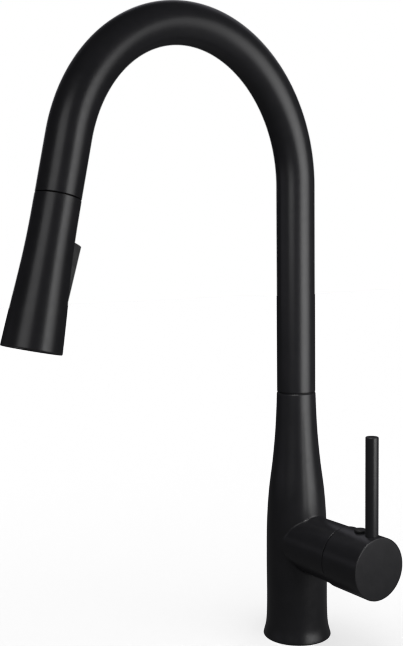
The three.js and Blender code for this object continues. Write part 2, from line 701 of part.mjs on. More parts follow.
function setScrew() {
  const hexSocket = new THREE.CylinderGeometry(1.4, 1.4, 4, 6).translate(0, 12.2, SCREW_X);
  return cut(rodAlongY(2.5, STEM_HALF + GAP, SCREW_HEAD_Y, 0, SCREW_X), hexSocket);
}

function leverRod() {
  const low = LEVER_SOCKET_Y + GAP;
  const high = LEVER_TOP_Z - BRANCH_Z;
  const chamfer = 0.5;
  return turned([
    [0, low], [LEVER_R, low], [LEVER_R, high - chamfer], [LEVER_R - chamfer, high], [0, high],
  ]).rotateX(-Math.PI / 2).translate(0, 0, LEVER_X);
}

function handle(group) {
  addPiece(group, "stem", stem(), brass);
  addPiece(group, "hub", hub(), matteBlack);
  addPiece(group, "set_screw", setScrew(), steel);
  addPiece(group, "index_plug", indexPlug(), blackPlastic);
  addPiece(group, "lever_rod", leverRod(), matteBlack);
}

function cartridgeInsides(group) {
  addPiece(group, "turret", turret(), whitePlastic);
  addPiece(group, "pivot_pin", rodAlongX(1.5, -11.6, 11.6, 0, PIVOT), steel);
  addPiece(group, "moving_disc", movingDisc(), ceramic);
  addPiece(group, "disc_carrier", discCarrier(), whitePlastic);
}

// ---- Assembly -----------------------------------------------------------------------------------

const faucet = new THREE.Group();
addPiece(faucet, "body_shell", bodyShell(), matteBlack);
fixing(faucet);
swivelBushes(faucet);

// The branch's own frame: its Z runs along +X, its Y is up and its X is the faucet's +Y.
const branchFrame = new THREE.Group();
branchFrame.quaternion.set(0.5, 0.5, 0.5, 0.5);
branchFrame.position.z = BRANCH_Z;
cartridge(branchFrame);
addPiece(branchFrame, "dome_ring", domeRing(), blackPlastic);
cartridgeInsides(branchFrame);
handle(branchFrame);
faucet.add(branchFrame);

const spoutFrame = new THREE.Group();
spoutFrame.rotation.z = radians(REST_TURN);
spout(spoutFrame);
faucet.add(spoutFrame);

// The spout end's own frame: its Z runs up into the spout and its Y faces the column.
const endFrame = new THREE.Group();
endFrame.position.copy(new SpoutLine(0, DOWN_LEG, 1).getPoint(1));
endFrame.rotation.x = -radians(LEAN);
dock(endFrame);
addPiece(endFrame, "hose_ferrule", hoseFerrule(), steel);
sprayHead(endFrame);
diverter(endFrame);
spoutFrame.add(endFrame);

export default faucet;
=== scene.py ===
import json
import math

import bmesh
import bpy
from mathutils import Matrix, Vector

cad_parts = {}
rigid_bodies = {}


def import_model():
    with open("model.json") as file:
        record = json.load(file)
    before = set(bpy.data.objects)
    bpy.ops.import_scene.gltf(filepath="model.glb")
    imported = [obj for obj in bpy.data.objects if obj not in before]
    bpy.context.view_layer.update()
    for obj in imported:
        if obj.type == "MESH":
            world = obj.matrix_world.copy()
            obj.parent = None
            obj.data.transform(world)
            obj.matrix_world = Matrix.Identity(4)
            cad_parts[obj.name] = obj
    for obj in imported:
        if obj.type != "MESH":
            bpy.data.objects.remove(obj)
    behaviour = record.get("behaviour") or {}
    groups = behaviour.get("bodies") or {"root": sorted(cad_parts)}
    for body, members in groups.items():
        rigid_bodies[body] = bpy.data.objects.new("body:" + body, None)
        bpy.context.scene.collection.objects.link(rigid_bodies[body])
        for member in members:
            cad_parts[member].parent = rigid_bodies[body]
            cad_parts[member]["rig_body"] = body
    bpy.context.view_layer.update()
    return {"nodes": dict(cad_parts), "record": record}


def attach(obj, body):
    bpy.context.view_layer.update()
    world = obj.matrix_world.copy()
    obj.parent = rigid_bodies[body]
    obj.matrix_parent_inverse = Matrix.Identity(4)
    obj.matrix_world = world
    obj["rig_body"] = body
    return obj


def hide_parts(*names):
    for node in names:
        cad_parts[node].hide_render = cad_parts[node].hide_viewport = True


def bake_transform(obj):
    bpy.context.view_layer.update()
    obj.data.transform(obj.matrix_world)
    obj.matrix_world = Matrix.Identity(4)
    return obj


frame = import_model()

# The looks of a pull-down kitchen faucet in matte black. Every shape is made in millimetres, in
# the frame of the sub-assembly that it belongs to, and is scaled to metres when it is placed.

scene = bpy.context.scene

# ---- Driving dimensions, in millimetres ---------------------------------------------------------

MM = 0.001
TAU = 2 * math.pi
GAP = 0.3  # clearance between pieces that touch on the real faucet

# Column: radius and height from the foot's rounded edge to the neck
NECK_R = 14.2
NECK_Z = 184
NECK_EDGE = 0.8  # radius of the edge round the column's top
FOOT_EDGE = 0.8  # height of the foot's rounded edge
FOOT_FLAT_R = 24.7
COLUMN_OUTLINE = [
    (25.1, FOOT_EDGE), (23.1, 9.5), (22.4, 25), (22.45, 58), (22.05, 87), (20.5, 110),
    (17.6, 133), (15.6, 154), (14.6, 172), (NECK_R, 183.4),
]

# Bores of the column, from the foot up
RECESS_R = 23.1
RECESS_Z = 2.1
SHANK_SOCKET_Z = 28
HOSE_PASSAGE_R = 7
CHAMBER_R = 12.5
CHAMBER_FOOT_Z = 105
SWIVEL_STEP_Z = 135  # the spout's retaining ring catches under this step
SWIVEL_BORE_R = 11.6
FEED_R = 3
FEED_CIRCLE_R = 11.3
FEED_TURN = math.radians(50)  # from one feed to the next, about the column's axis
PORT_R = 2.6
PORTS = [(-7.5, -5), (7.5, -5), (0, 7)]  # places on the cartridge's seat, across and up

# Spout
TUBE_R = 14
TUBE_WALL = 1.8
TUBE_FIT_R = TUBE_R - TUBE_WALL - GAP  # radius of what fits in the tube
NECK_JOINT = 0.9
BEND_Z = 336
BEND_R = 102
BEND_TURN = math.radians(166.7)
DOWN_LEG = 37
REST_TURN = math.radians(9.8)
ARCH = BEND_R * BEND_TURN
SPOUT_END = BEND_Z + ARCH + DOWN_LEG  # length along the centreline, counted from the worktop

# Spray head: radius and distance below the spout's end
HEAD_LENGTH = 92.5
HEAD_WALL = 1.8
HEAD_OUTLINE = [
    (14.05, 0.6), (14.2, 20), (14.65, 35), (15.5, 50), (16.55, 65), (17.5, 80),
    (18.2, HEAD_LENGTH),
]
INLET_R = 8.2  # hole in the shell's lid, for the swivel nut
PIN_R = 1.2  # hole for the rocker's pin
ROCKER_PIN_Y = 10.6
ROCKER_PIN_DROP = 44.5
ROCKER_END_R = 19.4
ROCKER_TOP_Y = 18.6
ROCKER_FOOT_Y = 15.9
ROCKER_WIDTH = 13
ROCKER_FOOT_DROP = 62.3
ROCKER_CROWN_R = 40
NOZZLE_ROWS = [(10, 10), (13.4, 14)]  # radius of each row and its count

# Spray hose, with its foot under the worktop
HOSE_R = 6
HOSE_BORE_R = 3.4
HOSE_FOOT_Z = -66
HOSE_TAIL_Z = -92  # foot of the fitting under the hose
TAIL_SLEEVE_R = 7.2
TAIL_NUT_FLATS = 17
TAIL_NUT_TOP_Z = -78
FERRULE_TOP = 34  # the crimp begins this far up inside the spout's end
DRAWN = 30  # length of hose that is drawn out when the head is pulled
CRIMPED = SPOUT_END - FERRULE_TOP
STILL = CRIMPED - DRAWN

# Cartridge branch and handle, by distance from the column's axis
BRANCH_Z = 73
BRANCH_R = 20.85
BRANCH_END = 53.7
CARTRIDGE_SEAT = 22
CARTRIDGE_BORE_R = 18.5
PIVOT = 50
HUB_R = 21.7
HUB_SKIRT_R = 21.15
HUB_BACK = 55.2  # leaves a seam of 1.5 mm in front of the branch
HUB_FLOOR = 67
HUB_FRONT = 89.3
DOME_R = 19.8
STEM_HALF = 3.5
SCREW_X = 70.6
LEVER_X = 82
LEVER_R = 4.35
LEVER_TOP_Z = 162.8

# Under the worktop
SHANK_R = 16.7
SHANK_BORE_R = 15
SHANK_FOOT_Z = -56
SHANK_TOP_Z = 27.7
CLAMP_Z = -30
WASHER_R = 26

AROUND = 96  # facets on a full turn of a round piece

# ---- Frames of the sub-assemblies ---------------------------------------------------------------


def spout_line(length):
    """A place on the spout's centreline, with the directions across it and up from its plane."""
    turn = min(max((length - BEND_Z) / BEND_R, 0), BEND_TURN)
    along = Vector((0, -math.sin(turn), math.cos(turn)))
    bend = Vector((0, -BEND_R * (1 - math.cos(turn)), BEND_Z + BEND_R * math.sin(turn)))
    across = Vector((1, 0, 0))
    return bend + along * (length - BEND_Z - BEND_R * turn), across, along.cross(across)


def upright(height):
    return Vector((0, 0, height)), Vector((1, 0, 0)), Vector((0, 1, 0))


COLUMN = Matrix.Identity(4)
# The branch's Z runs along +X, its Y is up and its X is the faucet's +Y.
BRANCH = Matrix(((0, 0, 1, 0), (1, 0, 0, 0), (0, 1, 0, BRANCH_Z), (0, 0, 0, 1)))
SPOUT = Matrix.Rotation(REST_TURN, 4, "Z")
# The end's Z runs up into the spout and its Y faces the column.
END = (
    SPOUT
    @ Matrix.Translation(spout_line(SPOUT_END)[0])
    @ Matrix.Rotation(BEND_TURN - math.pi, 4, "X")
)

# ---- Shapes -------------------------------------------------------------------------------------


def evenly(start, end, steps):
    """Evenly spaced numbers from the start to just before the end."""
    return [start + (end - start) * k / steps for k in range(steps)]


def smooth_outline(points, steps):
    """Points on a smooth line through a few (radius, height) points, at even heights."""
    radii, heights = zip(*points)
    last = len(points) - 1
    slopes = []
    for i in range(last + 1):
        low, high = max(i - 1, 0), min(i + 1, last)
        slopes.append((radii[high] - radii[low]) / (heights[high] - heights[low]))

    def at(height):
        i = max(k for k in range(last) if heights[k] <= height or k == 0)
        span = heights[i + 1] - heights[i]
        t = (height - heights[i]) / span
        return (
            radii[i] * (1 + 2 * t) * (1 - t) ** 2
            + radii[i + 1] * t * t * (3 - 2 * t)
            + slopes[i] * span * t * (1 - t) ** 2
            - slopes[i + 1] * span * t * t * (1 - t)
        )

    even = [*evenly(heights[0], heights[-1], steps), heights[-1]]
    return [(at(height), height) for height in even]


def softened(outline, steps=4):
    """The closed outline, with each corner that has a third number rounded to that radius."""
    points = []
    for i, corner in enumerate(outline):
        here = Vector(corner[:2])
        if len(corner) == 2:
            points.append(here)
            continue
        before = (Vector(outline[i - 1][:2]) - here).normalized()
        after = (Vector(outline[(i + 1) % len(outline)][:2]) - here).normalized()
        half = before.angle(after) / 2
        middle = (before + after).normalized() * corner[2] / math.sin(half)
        start = before * corner[2] / math.tan(half) - middle
        end = after * corner[2] / math.tan(half) - middle
        sweep = start.angle(end)
        for k in range(steps + 1):
            share = k / steps
            arm = start * math.sin((1 - share) * sweep) + end * math.sin(share * sweep)
            points.append(here + middle + arm / math.sin(sweep))
    return points


def bridge(solid, one, following):
    """Faces between two closed rings of points, either of which may be a single point."""
    count = max(len(one), len(following))
    if count == 1:
        return
    for i in range(count):
        j = (i + 1) % count
        corners = [
            one[i % len(one)],
            one[j % len(one)],
            following[j % len(following)],
            following[i % len(following)],
        ]
        solid.faces.new(list(dict.fromkeys(corners)))


def turned(outline, around=AROUND, line=upright):
    """A closed outline of (radius, height) turned about a line, upright or the spout's."""
    solid = bmesh.new()
    circles = []
    for radius, height in softened(outline):
        centre, across, up = line(height)
        circle = []
        for i in range(around if radius > 1e-6 else 1):
            angle = TAU * i / around
            arm = across * math.cos(angle) + up * math.sin(angle)
            circle.append(solid.verts.new(centre + arm * radius))
        circles.append(circle)
    for circle, following in zip(circles, circles[1:] + circles[:1]):
        bridge(solid, circle, following)
    return solid


def ring(inner, outer, low, high, edge=0.3, around=AROUND):
    corners = [(inner, low, edge), (outer, low, edge), (outer, high, edge), (inner, high, edge)]
    return turned(corners, around)


def rod(radius, low, high, edge=0.0, around=AROUND):
    corner = (edge,) if edge else ()
    return turned([(0, low), (radius, low, *corner), (radius, high, *corner), (0, high)], around)


def torus(radius, thickness, height):
    steps = 16
    half = thickness / 2
    angles = [TAU * k / steps for k in range(steps)]
    return turned([(radius + half * math.cos(a), height + half * math.sin(a)) for a in angles])


def block(width, depth, height):
    """A box between the two limits that each of width, depth and height holds."""
    solid = bmesh.new()
    bmesh.ops.create_cube(solid, size=1)
    for limits, axis in zip((width, depth, height), range(3)):
        for vert in solid.verts:
            vert.co[axis] = limits[0] if vert.co[axis] < 0 else limits[1]
    return solid


def prism(outline, low, high):
    """A flat outline of (x, y) points drawn up from one height to another."""
    solid = bmesh.new()
    floor, ceiling = ([solid.verts.new((x, y, z)) for x, y in outline] for z in (low, high))
    solid.faces.new(floor)
    solid.faces.new(ceiling)
    bridge(solid, floor, ceiling)
    return solid


# Turns of an upright solid, onto X or onto Y
ALONG_X = ("Y", math.pi / 2)
ALONG_Y = ("X", -math.pi / 2)


def placed(solid, *, x=0, y=0, z=0, turn=None):
    """The solid turned, as its axis and angle say, and then shifted."""
    if turn:
        solid.transform(Matrix.Rotation(turn[1], 4, turn[0]))
    bmesh.ops.translate(solid, verts=solid.verts, vec=(x, y, z))
    return solid


def gathered(solids):
    """Separate solids in one mesh."""
    whole = bmesh.new()
    for solid in solids:
        mesh = bpy.data.meshes.new("gathered")
        solid.to_mesh(mesh)
        solid.free()
        whole.from_mesh(mesh)
        bpy.data.meshes.remove(mesh)
    return whole


def to_mesh(solid, name):
    bmesh.ops.recalc_face_normals(solid, faces=solid.faces)
    mesh = bpy.data.meshes.new(name)
    solid.to_mesh(mesh)
    solid.free()
    return mesh


def add_object(name, data):
    made = bpy.data.objects.new(name, data)
    scene.collection.objects.link(made)
    return made


def worked(solid, *tools, how="DIFFERENCE"):
    """The solid with the tools cut from it, joined to it or left in common with it."""
    helpers = [add_object("helper", to_mesh(one, "helper")) for one in (solid, *tools)]
    base = helpers[0]
    for tool in helpers[1:]:
        cut = base.modifiers.new("cut", "BOOLEAN")
        cut.operation = how
        cut.solver = "EXACT"
        cut.object = tool
    shaped = base.evaluated_get(bpy.context.evaluated_depsgraph_get()).to_mesh()
    result = bmesh.new()
    result.from_mesh(shaped)
    for helper in helpers:
        mesh = helper.data
        bpy.data.objects.remove(helper)
        bpy.data.meshes.remove(mesh)
    return result


def eased(solid, width, sharp=35, steps=3):
    """The solid with its sharp edges rounded."""
    limit = math.radians(sharp)
    edges = [e for e in solid.edges if e.is_manifold and e.calc_face_angle(0) > limit]
    bmesh.ops.bevel(
        solid, geom=edges, offset=width, segments=steps, profile=0.5, affect="EDGES",
        clamp_overlap=True,
    )
    return solid


# ---- Finishes -----------------------------------------------------------------------------------

# Sizes of surface detail, as noise scales per metre
MOTTLE = 60
GRAIN = 1400
DUST = 5200


def add_node(tree, kind, **settings):
    node = tree.nodes.new(kind)
    for name, value in settings.items():
        if hasattr(node, name):
            setattr(node, name, value)
        else:
            node.inputs[name.replace("_", " ")].default_value = value
    return node


def noise(tree, where, scale, detail=3.0):
    node = add_node(tree, "ShaderNodeTexNoise", Scale=scale, Detail=detail, Roughness=0.6)
    tree.links.new(where, node.inputs["Vector"])
    return node.outputs["Fac"]


def spread(tree, value, low, high, floor=0.35, ceiling=0.65):
    """A noise's usual range spread over two values."""
    node = add_node(
        tree, "ShaderNodeMapRange", From_Min=floor, From_Max=ceiling, To_Min=low, To_Max=high,
    )
    tree.links.new(value, node.inputs["Value"])
    return node.outputs["Result"]


def tinted(tree, value, dark, light):
    """A colour between two, by a value from 0 to 1."""
    node = add_node(tree, "ShaderNodeMix", data_type="RGBA")
    colours = [socket for socket in node.inputs if socket.type == "RGBA"]
    colours[0].default_value = (*dark, 1)
    colours[1].default_value = (*light, 1)
    tree.links.new(value, node.inputs[0])
    return next(socket for socket in node.outputs if socket.type == "RGBA")


def relief(tree, height, depth, below=None):
    node = add_node(tree, "ShaderNodeBump", Strength=1.0, Distance=depth)
    tree.links.new(height, node.inputs["Height"])
    if below:
        tree.links.new(below, node.inputs["Normal"])
    return node.outputs["Normal"]


def surface(name, **constants):
    """A new material's node tree, its shader and the place that its patterns follow."""
    material = bpy.data.materials.new(name)
    material.use_nodes = True
    tree = material.node_tree
    shader = tree.nodes["Principled BSDF"]
    for socket, value in constants.items():
        shader.inputs[socket.replace("_", " ")].default_value = value
    where = tree.nodes.new("ShaderNodeTexCoord").outputs["Object"]
    return material, tree, shader, where


def speckled(name, dark, light, gloss, peel, dust, **constants):
    """A finish with slow changes of colour, uneven gloss, a soft relief and a fine one on it.

    gloss holds the least and greatest roughness, and peel and dust each hold a depth in metres."""
    material, tree, shader, where = surface(name, **constants)
    links = tree.links
    slow = spread(tree, noise(tree, where, MOTTLE), 0, 1)
    links.new(tinted(tree, slow, dark, light), shader.inputs["Base Color"])
    links.new(spread(tree, noise(tree, where, GRAIN / 6), *gloss), shader.inputs["Roughness"])
    soft = relief(tree, noise(tree, where, GRAIN, 1.0), peel)
    links.new(relief(tree, noise(tree, where, DUST, 2.0), dust, soft), shader.inputs["Normal"])
    return material


def machined(name, dark, light, gloss, direction, **constants):
    """Bare metal with fine tool marks, which are long across the direction that is given."""
    material, tree, shader, where = surface(name, Metallic=1.0, **constants)
    links = tree.links
    stretch = add_node(tree, "ShaderNodeMapping", Scale=direction)
    links.new(where, stretch.inputs["Vector"])
    marks = noise(tree, stretch.outputs["Vector"], GRAIN, 4.0)
    slow = spread(tree, noise(tree, where, MOTTLE * 2), 0, 1)
    links.new(tinted(tree, slow, dark, light), shader.inputs["Base Color"])
    links.new(spread(tree, marks, *gloss), shader.inputs["Roughness"])
    links.new(relief(tree, marks, 0.000012), shader.inputs["Normal"])
    return material


def braided(name):
    """Nylon yarn in two crossing sets of turns round the hose, each over and under the other."""
    material, tree, shader, where = surface(name, Sheen_Weight=0.25, Sheen_Roughness=0.4)
    links = tree.links

    def maths(operation, first, second=0):
        node = add_node(tree, "ShaderNodeMath", operation=operation)
        for socket, value in zip(node.inputs, (first, second)):
            if isinstance(value, (int, float)):
                socket.default_value = value
            else:
                links.new(value, socket)
        return node.outputs[0]

    def part(place, axis):
        split = tree.nodes.new("ShaderNodeSeparateXYZ")
        links.new(place, split.inputs[0])
        return split.outputs[axis]

    # The mesh's own map gives the turn round the hose, and the height gives the way along it, so
    # the weave keeps its size where the hose is drawn out.
    own_map = add_node(tree, "ShaderNodeUVMap", uv_map="round")
    yarns = 16
    lay = 24.0 * MM  # length of one yarn's full turn
    across = maths("MULTIPLY", part(own_map.outputs["UV"], "X"), yarns)
    along = maths("MULTIPLY", part(where, "Z"), yarns / lay)
    sets = [maths(way, across, along) for way in ("ADD", "SUBTRACT")]
    left, right = (maths("SINE", maths("MULTIPLY", maths("FRACT", n), math.pi)) for n in sets)
    # Which set is on top changes from one crossing to the next.
    cell = maths("ADD", *(maths("FLOOR", n) for n in sets))
    over = maths("MODULO", maths("ABSOLUTE", cell), 2)
    under = maths("SUBTRACT", 1, over)
    height = maths("ADD", maths("MULTIPLY", left, over), maths("MULTIPLY", right, under))
    fibre = noise(tree, where, DUST, 2.0)
    # Painted shade: the yarn's colour goes dark in the valleys between the crossings and light on
    # the crests, by the weave's height.
    painted_valley_shade = spread(tree, height, 0, 1, 0.1, 0.9)
    colour = tinted(tree, painted_valley_shade, (0.05, 0.052, 0.055), (0.42, 0.43, 0.44))
    links.new(colour, shader.inputs["Base Color"])
    links.new(spread(tree, fibre, 0.42, 0.7), shader.inputs["Roughness"])
    yarn = relief(tree, height, 0.00045)
    links.new(relief(tree, fibre, 0.00002, yarn), shader.inputs["Normal"])
    return material


FINISHES = {
    "black_coat": speckled(
        "black_coat", (0.0175, 0.0175, 0.0195), (0.0215, 0.021, 0.0235), (0.28, 0.33),
        0.000004, 0.0000012, Specular_IOR_Level=0.5,
    ),
    "brass": machined("brass", (0.56, 0.38, 0.16), (0.72, 0.52, 0.25), (0.2, 0.42), (1, 1, 9)),
    "steel": machined("steel", (0.5, 0.5, 0.51), (0.62, 0.62, 0.63), (0.18, 0.4), (1, 9, 1)),
    "rubber": speckled(
        "rubber", (0.010, 0.010, 0.010), (0.018, 0.018, 0.017), (0.68, 0.85), 0.00002, 0.000008
    ),
    "black_plastic": speckled(
        "black_plastic", (0.009, 0.009, 0.010), (0.014, 0.014, 0.015), (0.48, 0.6),
        0.00001, 0.000006,
    ),
    "white_plastic": speckled(
        "white_plastic", (0.66, 0.65, 0.61), (0.76, 0.75, 0.71), (0.36, 0.5), 0.00001, 0.000003,
        Subsurface_Weight=0.08, Subsurface_Scale=0.001,
    ),
    "ceramic": speckled(
        "ceramic", (0.60, 0.56, 0.48), (0.70, 0.67, 0.60), (0.1, 0.2), 0.000002, 0.000001,
        Coat_Weight=0.3,
    ),
    "silicone": speckled(
        "silicone", (0.055, 0.057, 0.06), (0.075, 0.077, 0.08), (0.5, 0.64), 0.00001, 0.000004,
        Subsurface_Weight=0.1, Subsurface_Scale=0.0008,
    ),
    "magnet": speckled(
        "magnet", (0.035, 0.035, 0.037), (0.06, 0.06, 0.063), (0.35, 0.55), 0.00002, 0.00001,
        Metallic=0.7,
    ),
    "hose_braid": braided("hose_braid"),
}

SLOTS = {row["node"]: row["material_slot"] for row in frame["record"]["subparts"]}


def show(node, solid, place, sharp=32):
    """Shows a fine solid in the place of its CAD node, on the same body and in the same finish."""
    mesh = to_mesh(solid, f"{node}_fine")
    mesh.transform(Matrix.Scale(MM, 4) @ place)
    mesh.shade_smooth()
    mesh.set_sharp_from_angle(angle=math.radians(sharp))
    mesh.materials.append(FINISHES[SLOTS[node]])
    piece = add_object(f"{node}_fine", mesh)
    even = piece.modifiers.new("even_shading", "WEIGHTED_NORMAL")
    even.keep_sharp = True
    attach(piece, frame["nodes"][node]["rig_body"])
    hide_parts(node)


def show_all(place, *makers):
    """Shows what each function makes, in the place of the CAD node with the function's name."""
    for make in makers:
        show(make.__name__, make(), place)


# ---- Column -------------------------------------------------------------------------------------

COLUMN_AROUND = 144
WINDOW_LOW, WINDOW_HIGH = 48, 98  # heights of the patch of the column's wall that holds the branch
WINDOW_ROWS = 32
WINDOW_HALF = 32  # columns of facets from its middle to its side
FACET = TAU / COLUMN_AROUND
FILLET = 1.3  # reach of the fillet between column and branch, on each
BRANCH_RIM = 0.35
BORE_RIM = 0.4
WALL = smooth_outline(COLUMN_OUTLINE, 180)


def wall_radius(height):
    """The column's radius at a height, between the points of its outline."""
    nearest = range(len(WALL) - 1)
    k = min(nearest, key=lambda i: abs(WALL[i][1] + WALL[i + 1][1] - 2 * height))
    (low_r, low), (high_r, high) = WALL[k], WALL[k + 1]
    share = (height - low) / (high - low)
    return low_r * (1 - share) + high_r * share


def on_wall(angle, height):
    radius = wall_radius(height)
    return Vector((radius * math.cos(angle), radius * math.sin(angle), height))


def meeting(turn):
    """Where the branch's line at a turn about its axis meets the wall: angle, height and x."""
    height = BRANCH_Z + BRANCH_R * math.sin(turn)
    side = BRANCH_R * math.cos(turn)
    radius = wall_radius(height)
    return math.asin(side / radius), height, math.sqrt(radius ** 2 - side ** 2)


def branch_line(start, turn):
    """Points from the window's edge over the fillet, along the branch and down its bore."""
    nearby = 1e-3
    angle, height, x = meeting(turn)
    ahead, behind = meeting(turn + nearby), meeting(turn - nearby)
    radius = wall_radius(height)
    tangent = Vector((radius * (ahead[0] - behind[0]), ahead[1] - behind[1])).normalized()
    edge = Vector((angle + FILLET * tangent.y / radius, height - FILLET * tangent.x))
    slope = (ahead[2] - behind[2]) / (2 * nearby * BRANCH_R)
    reach = FILLET * math.sqrt(1 + slope ** 2)

    def on_branch(x, radius=BRANCH_R):
        return Vector((x, radius * math.cos(turn), BRANCH_Z + radius * math.sin(turn)))

    steps = 7
    shares = [k / steps for k in range(1, steps + 1)]
    points = [on_wall(*start.lerp(edge, 1 - (1 - t) ** 1.3)) for t in shares]
    begin, corner, end = points[-1], on_branch(x), on_branch(x + reach)
    for t in shares:
        points.append(begin * (1 - t) ** 2 + corner * 2 * t * (1 - t) + end * t * t)
    inner_r, inner_x = BRANCH_R - BRANCH_RIM, BRANCH_END - BRANCH_RIM
    points += [on_branch(here) for here in evenly(end.x, inner_x, 9)[1:]]
    for a in (math.pi / 2 * k / 4 for k in range(5)):
        here = inner_x + BRANCH_RIM * math.sin(a)
        points.append(on_branch(here, inner_r + BRANCH_RIM * math.cos(a)))
    return [
        *points, on_branch(BRANCH_END, CARTRIDGE_BORE_R + BORE_RIM),
        on_branch(BRANCH_END - BORE_RIM, CARTRIDGE_BORE_R),
        on_branch(CARTRIDGE_SEAT, CARTRIDGE_BORE_R),
    ]


def body_shell():
    """The column, with the branch drawn out of its side over a small fillet, and its bores."""
    solid = bmesh.new()
    top = NECK_Z - NECK_EDGE
    rows = evenly(FOOT_EDGE, WINDOW_LOW, 26)
    first = len(rows)
    rows += evenly(WINDOW_LOW, WINDOW_HIGH, WINDOW_ROWS)
    last = len(rows)
    rows += [*evenly(WINDOW_HIGH, top, 46), top]
    made = {}

    def grid_vert(row, column):
        key = (row, column % COLUMN_AROUND)
        if key not in made:
            made[key] = solid.verts.new(on_wall(FACET * column, rows[row]))
        return made[key]

    for row in range(len(rows) - 1):
        for column in range(-COLUMN_AROUND // 2, COLUMN_AROUND // 2):
            if first <= row < last and -WINDOW_HALF <= column < WINDOW_HALF:
                continue
            solid.faces.new([
                grid_vert(row, column), grid_vert(row, column + 1),
                grid_vert(row + 1, column + 1), grid_vert(row + 1, column),
            ])

    # Round the window's edge, from its lower left corner
    border = [(first, c) for c in range(-WINDOW_HALF, WINDOW_HALF)]
    border += [(r, WINDOW_HALF) for r in range(first, last)]
    border += [(last, c) for c in range(WINDOW_HALF, -WINDOW_HALF, -1)]
    border += [(r, -WINDOW_HALF) for r in range(last, first, -1)]
    middle = (WINDOW_LOW + WINDOW_HIGH) / 2
    half_height, half_angle = (WINDOW_HIGH - WINDOW_LOW) / 2, FACET * WINDOW_HALF
    branch = []
    for row, column in border:
        start = Vector((FACET * column, rows[row]))
        turn = math.atan2((start.y - middle) / half_height, start.x / half_angle)
        line = [solid.verts.new(point) for point in branch_line(start, turn)]
        branch.append([grid_vert(row, column), *line])
    for line, following in zip(branch, branch[1:] + branch[:1]):
        for k in range(len(line) - 1):
            solid.faces.new([line[k], following[k], following[k + 1], line[k + 1]])
    solid.faces.new([line[-1] for line in branch])

    neck = []
    for a in (math.pi / 2 * k / 5 for k in range(1, 6)):
        neck.append((NECK_R - NECK_EDGE + NECK_EDGE * math.cos(a), top + NECK_EDGE * math.sin(a)))
    socket_r = SHANK_R + GAP
    inside = softened([
        (SWIVEL_BORE_R, NECK_Z, 0.3), (SWIVEL_BORE_R, SWIVEL_STEP_Z), (CHAMBER_R, SWIVEL_STEP_Z),
        (CHAMBER_R, CHAMBER_FOOT_Z), (HOSE_PASSAGE_R, CHAMBER_FOOT_Z),
        (HOSE_PASSAGE_R, SHANK_SOCKET_Z), (socket_r, SHANK_SOCKET_Z), (socket_r, RECESS_Z),
        (RECESS_R, RECESS_Z), (RECESS_R, 0, 0.2),
    ])
    foot = [(FOOT_FLAT_R, 0), (24.95, 0.2), (25.08, 0.5)]
    circles = [[grid_vert(len(rows) - 1, c) for c in range(COLUMN_AROUND)]]
    for radius, height in [*neck, *inside, *foot]:
        circles.append([
            solid.verts.new((radius * math.cos(FACET * c), radius * math.sin(FACET * c), height))
            for c in range(COLUMN_AROUND)
        ])
    circles.append([grid_vert(0, c) for c in range(COLUMN_AROUND)])
    for circle, following in zip(circles, circles[1:]):
        bridge(solid, circle, following)
    return solid


def waterways():
    """The drillings from the shank's socket to the three ports of the cartridge's seat."""
    drills = []
    for port_y, port_z in sorted(PORTS):
        angle = math.copysign(FEED_TURN, port_y) if port_y else 0
        x, y = FEED_CIRCLE_R * math.cos(angle), FEED_CIRCLE_R * math.sin(angle)
        port_z += BRANCH_Z
        feed = rod(FEED_R, SHANK_SOCKET_Z - 1, port_z + PORT_R, around=24)
        across = placed(rod(PORT_R, x, CARTRIDGE_SEAT + 1, around=24), turn=ALONG_X)
        drills += [placed(feed, x=x, y=y), placed(across, y=port_y, z=port_z)]
    return drills


show("body_shell", worked(body_shell(), *waterways()), COLUMN)


# ---- Fixing under the worktop -------------------------------------------------------------------


def mounting_shank():
    """The shank, shown smooth: its thread isn't cut. Its wall is made in rows of even height."""
    low, high = SHANK_FOOT_Z + 1, -1
    rows = 224
    return turned([
        (SHANK_BORE_R, SHANK_FOOT_Z, 0.4), (SHANK_R - 0.7, SHANK_FOOT_Z),
        *((SHANK_R, height) for height in evenly(low, high, rows)), (SHANK_R, high),
        (SHANK_R, SHANK_TOP_Z, 0.3), (SHANK_BORE_R, SHANK_TOP_Z, 0.3),
    ])


def hex_nut(across, hole, low, high):
    """A hexagonal nut with its corners turned off at both ends and a chamfered hole."""
    corner = across / math.sqrt(3)
    flat = 0.96 * across / 2
    fall = (corner - flat) * math.tan(math.radians(30))
    hexagon = turned([
        (0, low - 1), (corner, low - 1), (corner, high + 1), (0, high + 1),
    ], around=6)
    crown = turned([
        (0, low), (flat, low), (corner + 1, low + fall + 0.6), (corner + 1, high - fall - 0.6),
        (flat, high), (0, high),
    ])
    bore = turned([
        (0, low - 1), (hole + 1.8, low - 1), (hole, low + 0.8), (hole, high - 0.8),
        (hole + 1.8, high + 1), (0, high + 1),
    ])
    return worked(worked(hexagon, crown, how="INTERSECT"), bore)


def clamp_washer():
    """A pressed steel washer with a shallow rib round it."""
    low, high = CLAMP_Z - 5.3, CLAMP_Z - 3 - GAP
    return turned([
        (SHANK_R + GAP, low, 0.2), (19.5, low), (20.2, low + 0.4), (22.8, low + 0.4), (23.5, low),
        (WASHER_R, low, 0.5), (WASHER_R, high, 0.3), (SHANK_R + GAP, high, 0.3),
    ])


def rubber_washer():
    low, high = CLAMP_Z - 3, CLAMP_Z
    grooves = []
    for radius in (19.5, 21.5, 23.5):
        grooves += [(radius + 0.35, high), (radius, high - 0.35), (radius - 0.35, high)]
    return turned([
        (SHANK_R + GAP, low, 0.3), (WASHER_R, low, 0.7), (WASHER_R, high, 0.7), *reversed(grooves),
        (SHANK_R + GAP, high, 0.3),
    ])


def base_seal():
    """A flat ring whose outer lip presses on the worktop."""
    return turned([
        (18, 0, 0.3), (21.2, 0), (21.4, 0.35), (21.9, 0.35), (22.1, 0, 0.1), (22.8, 0, 0.3),
        (22.8, 1.8, 0.3), (18, 1.8, 0.3),
    ])


